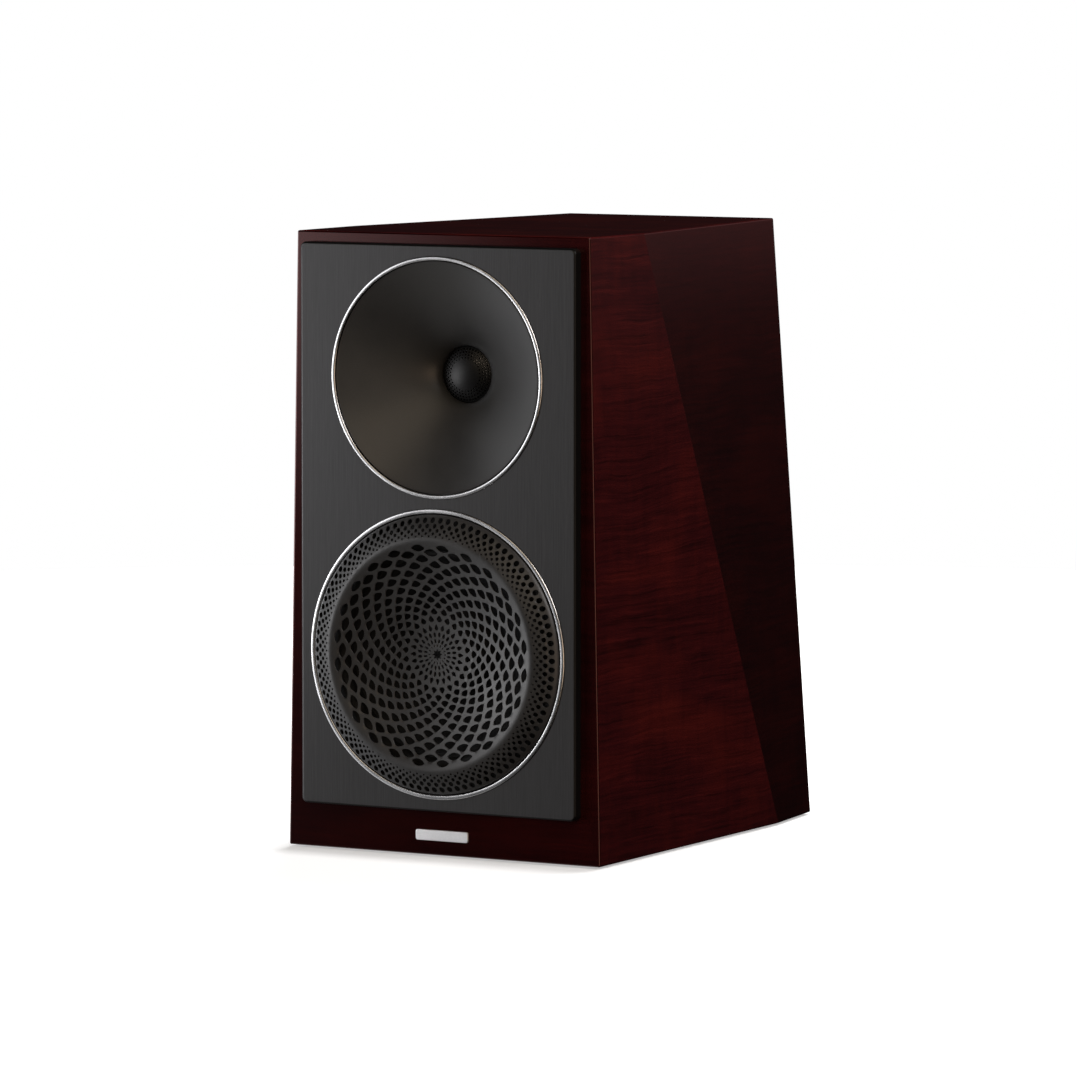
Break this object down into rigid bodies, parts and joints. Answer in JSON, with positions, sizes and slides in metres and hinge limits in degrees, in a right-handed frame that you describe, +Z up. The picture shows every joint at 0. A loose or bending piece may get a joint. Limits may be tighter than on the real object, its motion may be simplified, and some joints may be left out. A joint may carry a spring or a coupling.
{
  "type": "bookshelf speaker",
  "caption": "Bookshelf loudspeaker in a gloss wooden boat-tail cabinet: grey front plate, horn-loaded tweeter, woofer behind a perforated dish lens, rear port and binding posts.",
  "frame": {"origin": "centre of the overall box's base, on the plane the feet stand on", "axes": "+Z up, the front with the drivers faces -Y, +X is the right-hand side seen from the front"},
  "size_m": [0.1966, 0.3052, 0.3422],
  "materials": {
    "veneer": "high gloss veneer",
    "plate_grey": "brushed satin dark grey",
    "badge_grey": "satin",
    "polished_ring": "polished",
    "lens_grey": "satin dark grey",
    "horn_grey": "satin dark grey",
    "gloss_black": "gloss",
    "black_plastic": "matt",
    "red_plastic": "gloss",
    "rubber_black": "matt",
    "soft_foam": "matt foam",
    "cone_material": "matt",
    "spider_cloth": "impregnated cloth",
    "dome_metal": "satin",
    "cast_alloy": "cast",
    "plated_steel": "zinc plated",
    "ferrite": "ground",
    "copper": "enamelled copper wire",
    "gold_plate": "plated",
    "board": "laminate",
    "cap_film": "wrapped film",
    "ceramic": "ceramic",
    "wire_cover": "sleeved wire"
  },
  "bodies": {
    "cabinet": {"top_panel": "veneer", "bottom_panel": "veneer", "left_side_panel": "veneer", "right_side_panel": "veneer", "front_baffle": "veneer", "rear_panel": "veneer", "window_brace": "veneer", "damping_pads": "soft_foam", "rubber_feet": "rubber_black", "front_plate": "plate_grey", "blank_badge": "badge_grey", "tweeter_trim_ring": "polished_ring", "tweeter_waveguide": "horn_grey", "tweeter_lens": "gloss_black", "tweeter_top_plate": "plated_steel", "tweeter_magnet": "ferrite", "tweeter_yoke": "plated_steel", "tweeter_rear_chamber": "black_plastic", "tweeter_screws": "plated_steel", "woofer_trim_ring": "polished_ring", "woofer_lens": "lens_grey", "woofer_basket": "cast_alloy", "woofer_top_plate": "plated_steel", "woofer_magnet": "ferrite", "woofer_yoke": "plated_steel", "woofer_screws": "plated_steel", "woofer_terminal_block": "black_plastic", "port_tube": "black_plastic", "terminal_plate": "black_plastic", "terminal_screws": "plated_steel", "post_hex_nuts": "plated_steel", "black_post_stud": "gold_plate", "red_post_stud": "gold_plate", "black_post_collar": "black_plastic", "red_post_collar": "red_plastic", "crossover_board": "board", "crossover_spacers": "black_plastic", "crossover_screws": "plated_steel", "crossover_inductors": "copper", "crossover_capacitors": "cap_film", "crossover_resistors": "ceramic", "input_leads": "wire_cover", "woofer_leads": "wire_cover", "tweeter_leads": "wire_cover"},
    "woofer_motion": {"woofer_surround": "rubber_black", "woofer_cone": "cone_material", "woofer_dust_cap": "cone_material", "woofer_coil_former": "dome_metal", "woofer_voice_coil": "copper", "woofer_spider": "spider_cloth"},
    "tweeter_motion": {"tweeter_dome": "dome_metal", "tweeter_surround": "rubber_black", "tweeter_voice_coil": "copper"},
    "red_washer": {"red_clamp_washer": "gold_plate"},
    "red_cap": {"red_nut": "red_plastic"},
    "black_washer": {"black_clamp_washer": "gold_plate"},
    "black_cap": {"black_nut": "black_plastic"}
  },
  "joints": [
    {"name": "woofer_travel", "type": "slide", "parent": "cabinet", "child": "woofer_motion", "axis": [0, -1, 0], "range_m": [-0.004, 0.004], "stiffness_N_per_m": 1000, "deforming": ["woofer_surround", "woofer_spider"]},
    {"name": "tweeter_travel", "type": "slide", "parent": "cabinet", "child": "tweeter_motion", "axis": [0, -1, 0], "range_m": [-0.0003, 0.0003], "stiffness_N_per_m": 1500, "deforming": ["tweeter_surround"]},
    {"name": "red_nut_lift", "type": "slide", "parent": "cabinet", "child": "red_washer", "axis": [0, 1, 0], "range_m": [0, 0.005]},
    {"name": "red_nut_turn", "type": "hinge", "parent": "red_washer", "child": "red_cap", "pos_m": [0.0095, 0.1418, 0.0632], "axis": [0, -1, 0], "range_deg": [0, 1801]},
    {"name": "black_nut_lift", "type": "slide", "parent": "cabinet", "child": "black_washer", "axis": [0, 1, 0], "range_m": [0, 0.005]},
    {"name": "black_nut_turn", "type": "hinge", "parent": "black_washer", "child": "black_cap", "pos_m": [-0.0095, 0.1418, 0.0632], "axis": [0, -1, 0], "range_deg": [0, 1801]}
  ],
  "couplings": [
    {"joint": "red_nut_turn", "follows": "red_nut_lift", "rad_per_m": 6283.2},
    {"joint": "black_nut_turn", "follows": "black_nut_lift", "rad_per_m": 6283.2}
  ]
}
